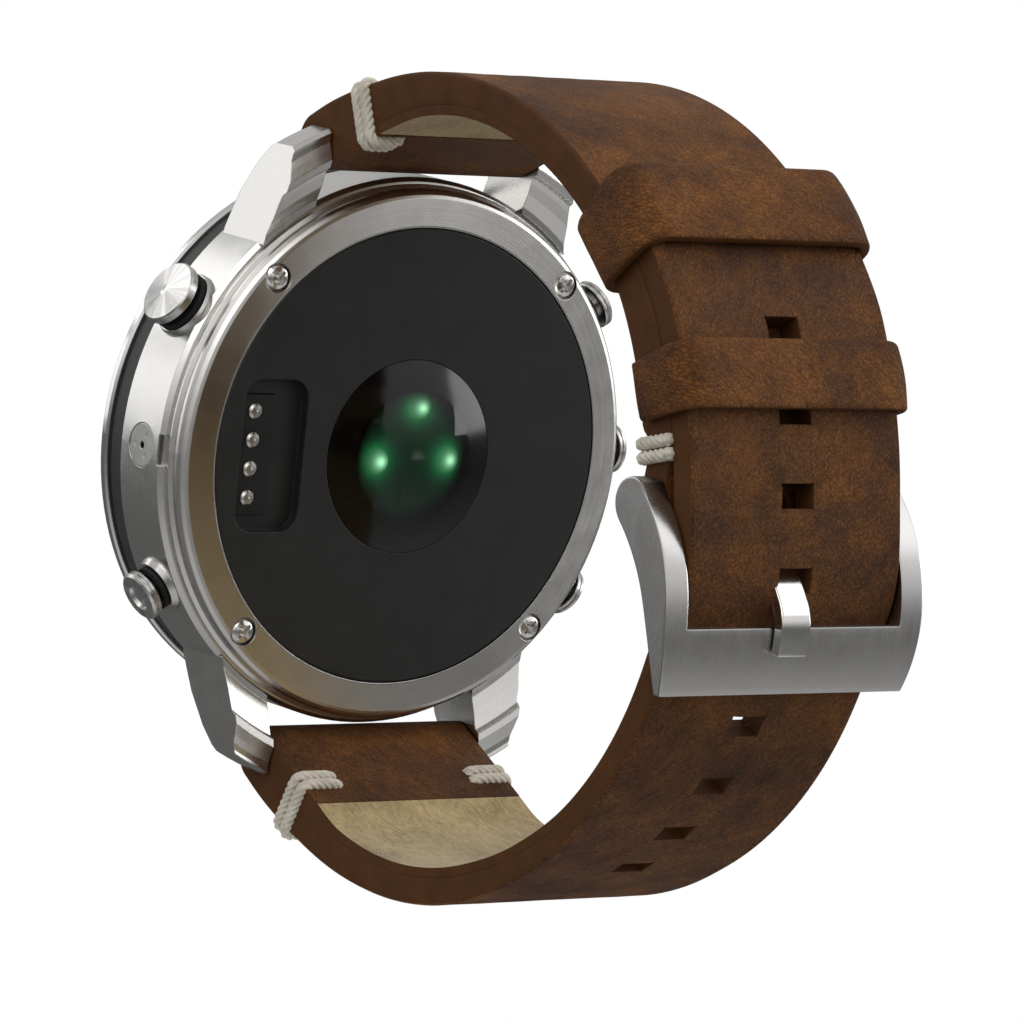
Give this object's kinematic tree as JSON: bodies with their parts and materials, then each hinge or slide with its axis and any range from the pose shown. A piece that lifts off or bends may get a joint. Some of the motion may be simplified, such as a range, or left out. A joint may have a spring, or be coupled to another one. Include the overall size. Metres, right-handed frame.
{
  "type": "smartwatch",
  "caption": "Round steel outdoor smartwatch with an optical sensor back and a closed brown leather strap with buckle, tongue and keepers.",
  "frame": {"origin": "centre of the flat front face of the crystal", "axes": "+X toward the 3 o'clock side, +Y from the crystal toward the wrist, +Z toward 12 o'clock"},
  "size_m": [0.0516, 0.0694, 0.0706],
  "materials": {
    "steel_case": "satin stainless steel",
    "steel_bezel": "polished stainless steel",
    "steel_ring": "finely turned stainless steel",
    "steel_button": "polished stainless steel",
    "steel_buckle": "brushed stainless steel",
    "steel_tongue": "polished stainless steel",
    "screw_steel": "polished screw head",
    "small_metal": "plain steel",
    "contact_metal": "plated contact",
    "buzzer_brass": "plain brass",
    "battery_foil": "foil",
    "dark_polymer": "matte dark polymer",
    "inner_polymer": "moulded polymer",
    "cover_black": "fine matte black",
    "circuit_board": "green solder mask",
    "led_green": "lit green lamp",
    "seal_rubber": "black rubber",
    "crystal_glass": "polished glass",
    "lens_glass": "smoked polished glass",
    "display_glass": "gloss black",
    "leather_brown": "grained brown leather with painted edges",
    "leather_keeper": "grained brown leather",
    "lining_beige": "suede-like beige lining",
    "thread_waxed": "thick twisted waxed cord"
  },
  "bodies": {
    "case": {"case_body": "steel_case", "insulator_band": "dark_polymer", "bezel": "steel_bezel", "crystal": "crystal_glass", "crystal_gasket": "seal_rubber", "display": "display_glass", "display_frame": "inner_polymer", "main_board": "circuit_board", "battery": "battery_foil", "vibration_motor": "small_metal", "buzzer": "buzzer_brass", "antenna_ring": "buzzer_brass", "inner_frame": "inner_polymer", "case_gasket": "seal_rubber", "back_ring": "steel_ring", "back_cover": "cover_black", "back_screws": "screw_steel", "lens": "lens_glass", "sensor_board": "circuit_board", "sensor_leds": "led_green", "photodiodes": "display_glass", "contact_block": "cover_black", "contacts": "contact_metal", "port_cover": "steel_case", "button_collars": "steel_button", "button_seals": "seal_rubber", "button_switches": "inner_polymer", "spring_bar_upper": "small_metal", "spring_bar_lower": "small_metal"},
    "start": {"start_button": "steel_button", "start_clip": "small_metal"},
    "back": {"back_button": "steel_button", "back_clip": "small_metal"},
    "light": {"light_button": "steel_button", "light_clip": "small_metal"},
    "menu": {"menu_button": "steel_button", "menu_clip": "small_metal"},
    "down": {"down_button": "steel_button", "down_clip": "small_metal"},
    "upper_strap": {"strap_upper": "leather_brown", "lining_upper": "lining_beige", "thread_upper": "thread_waxed", "thread_buckle": "thread_waxed", "keeper_fixed": "leather_keeper", "buckle_pin": "small_metal"},
    "lower_strap": {"strap_lower": "leather_brown", "lining_lower": "lining_beige", "thread_lower": "thread_waxed", "strap_tail": "leather_brown"},
    "keeper": {"keeper_free": "leather_keeper"},
    "frame": {"buckle_frame": "steel_buckle"},
    "tongue": {"buckle_tongue": "steel_tongue"}
  },
  "joints": [
    {"name": "start_press", "type": "slide", "parent": "case", "child": "start", "axis": [-0.866, 0, -0.5], "range_m": [0, 0.0005], "stiffness_N_per_m": 2500},
    {"name": "back_press", "type": "slide", "parent": "case", "child": "back", "axis": [-0.866, 0, 0.5], "range_m": [0, 0.0005], "stiffness_N_per_m": 2500},
    {"name": "light_press", "type": "slide", "parent": "case", "child": "light", "axis": [0.866, 0, -0.5], "range_m": [0, 0.0005], "stiffness_N_per_m": 2500},
    {"name": "menu_press", "type": "slide", "parent": "case", "child": "menu", "axis": [1, 0, 0], "range_m": [0, 0.0005], "stiffness_N_per_m": 2500},
    {"name": "down_press", "type": "slide", "parent": "case", "child": "down", "axis": [0.866, 0, 0.5], "range_m": [0, 0.0005], "stiffness_N_per_m": 2500},
    {"name": "upper_strap_hinge", "type": "hinge", "parent": "case", "child": "upper_strap", "pos_m": [0, 0.0099, 0.0272], "axis": [1, 0, 0], "range_deg": [0, 50]},
    {"name": "lower_strap_hinge", "type": "hinge", "parent": "case", "child": "lower_strap", "pos_m": [0, 0.0099, -0.0272], "axis": [-1, 0, 0], "range_deg": [0, 50], "deforming": ["strap_tail"]},
    {"name": "keeper_slide", "type": "hinge", "parent": "upper_strap", "child": "keeper", "pos_m": [0, 0.0302, 0], "axis": [1, 0, 0], "range_deg": [-8, 6]},
    {"name": "buckle_hinge", "type": "hinge", "parent": "upper_strap", "child": "frame", "pos_m": [0, 0.06209, 0.00448], "axis": [1, 0, 0], "range_deg": [0, 40]},
    {"name": "tongue_hinge", "type": "hinge", "parent": "frame", "child": "tongue", "pos_m": [0, 0.06209, 0.00448], "axis": [1, 0, 0], "range_deg": [0, 50]}
  ]
}
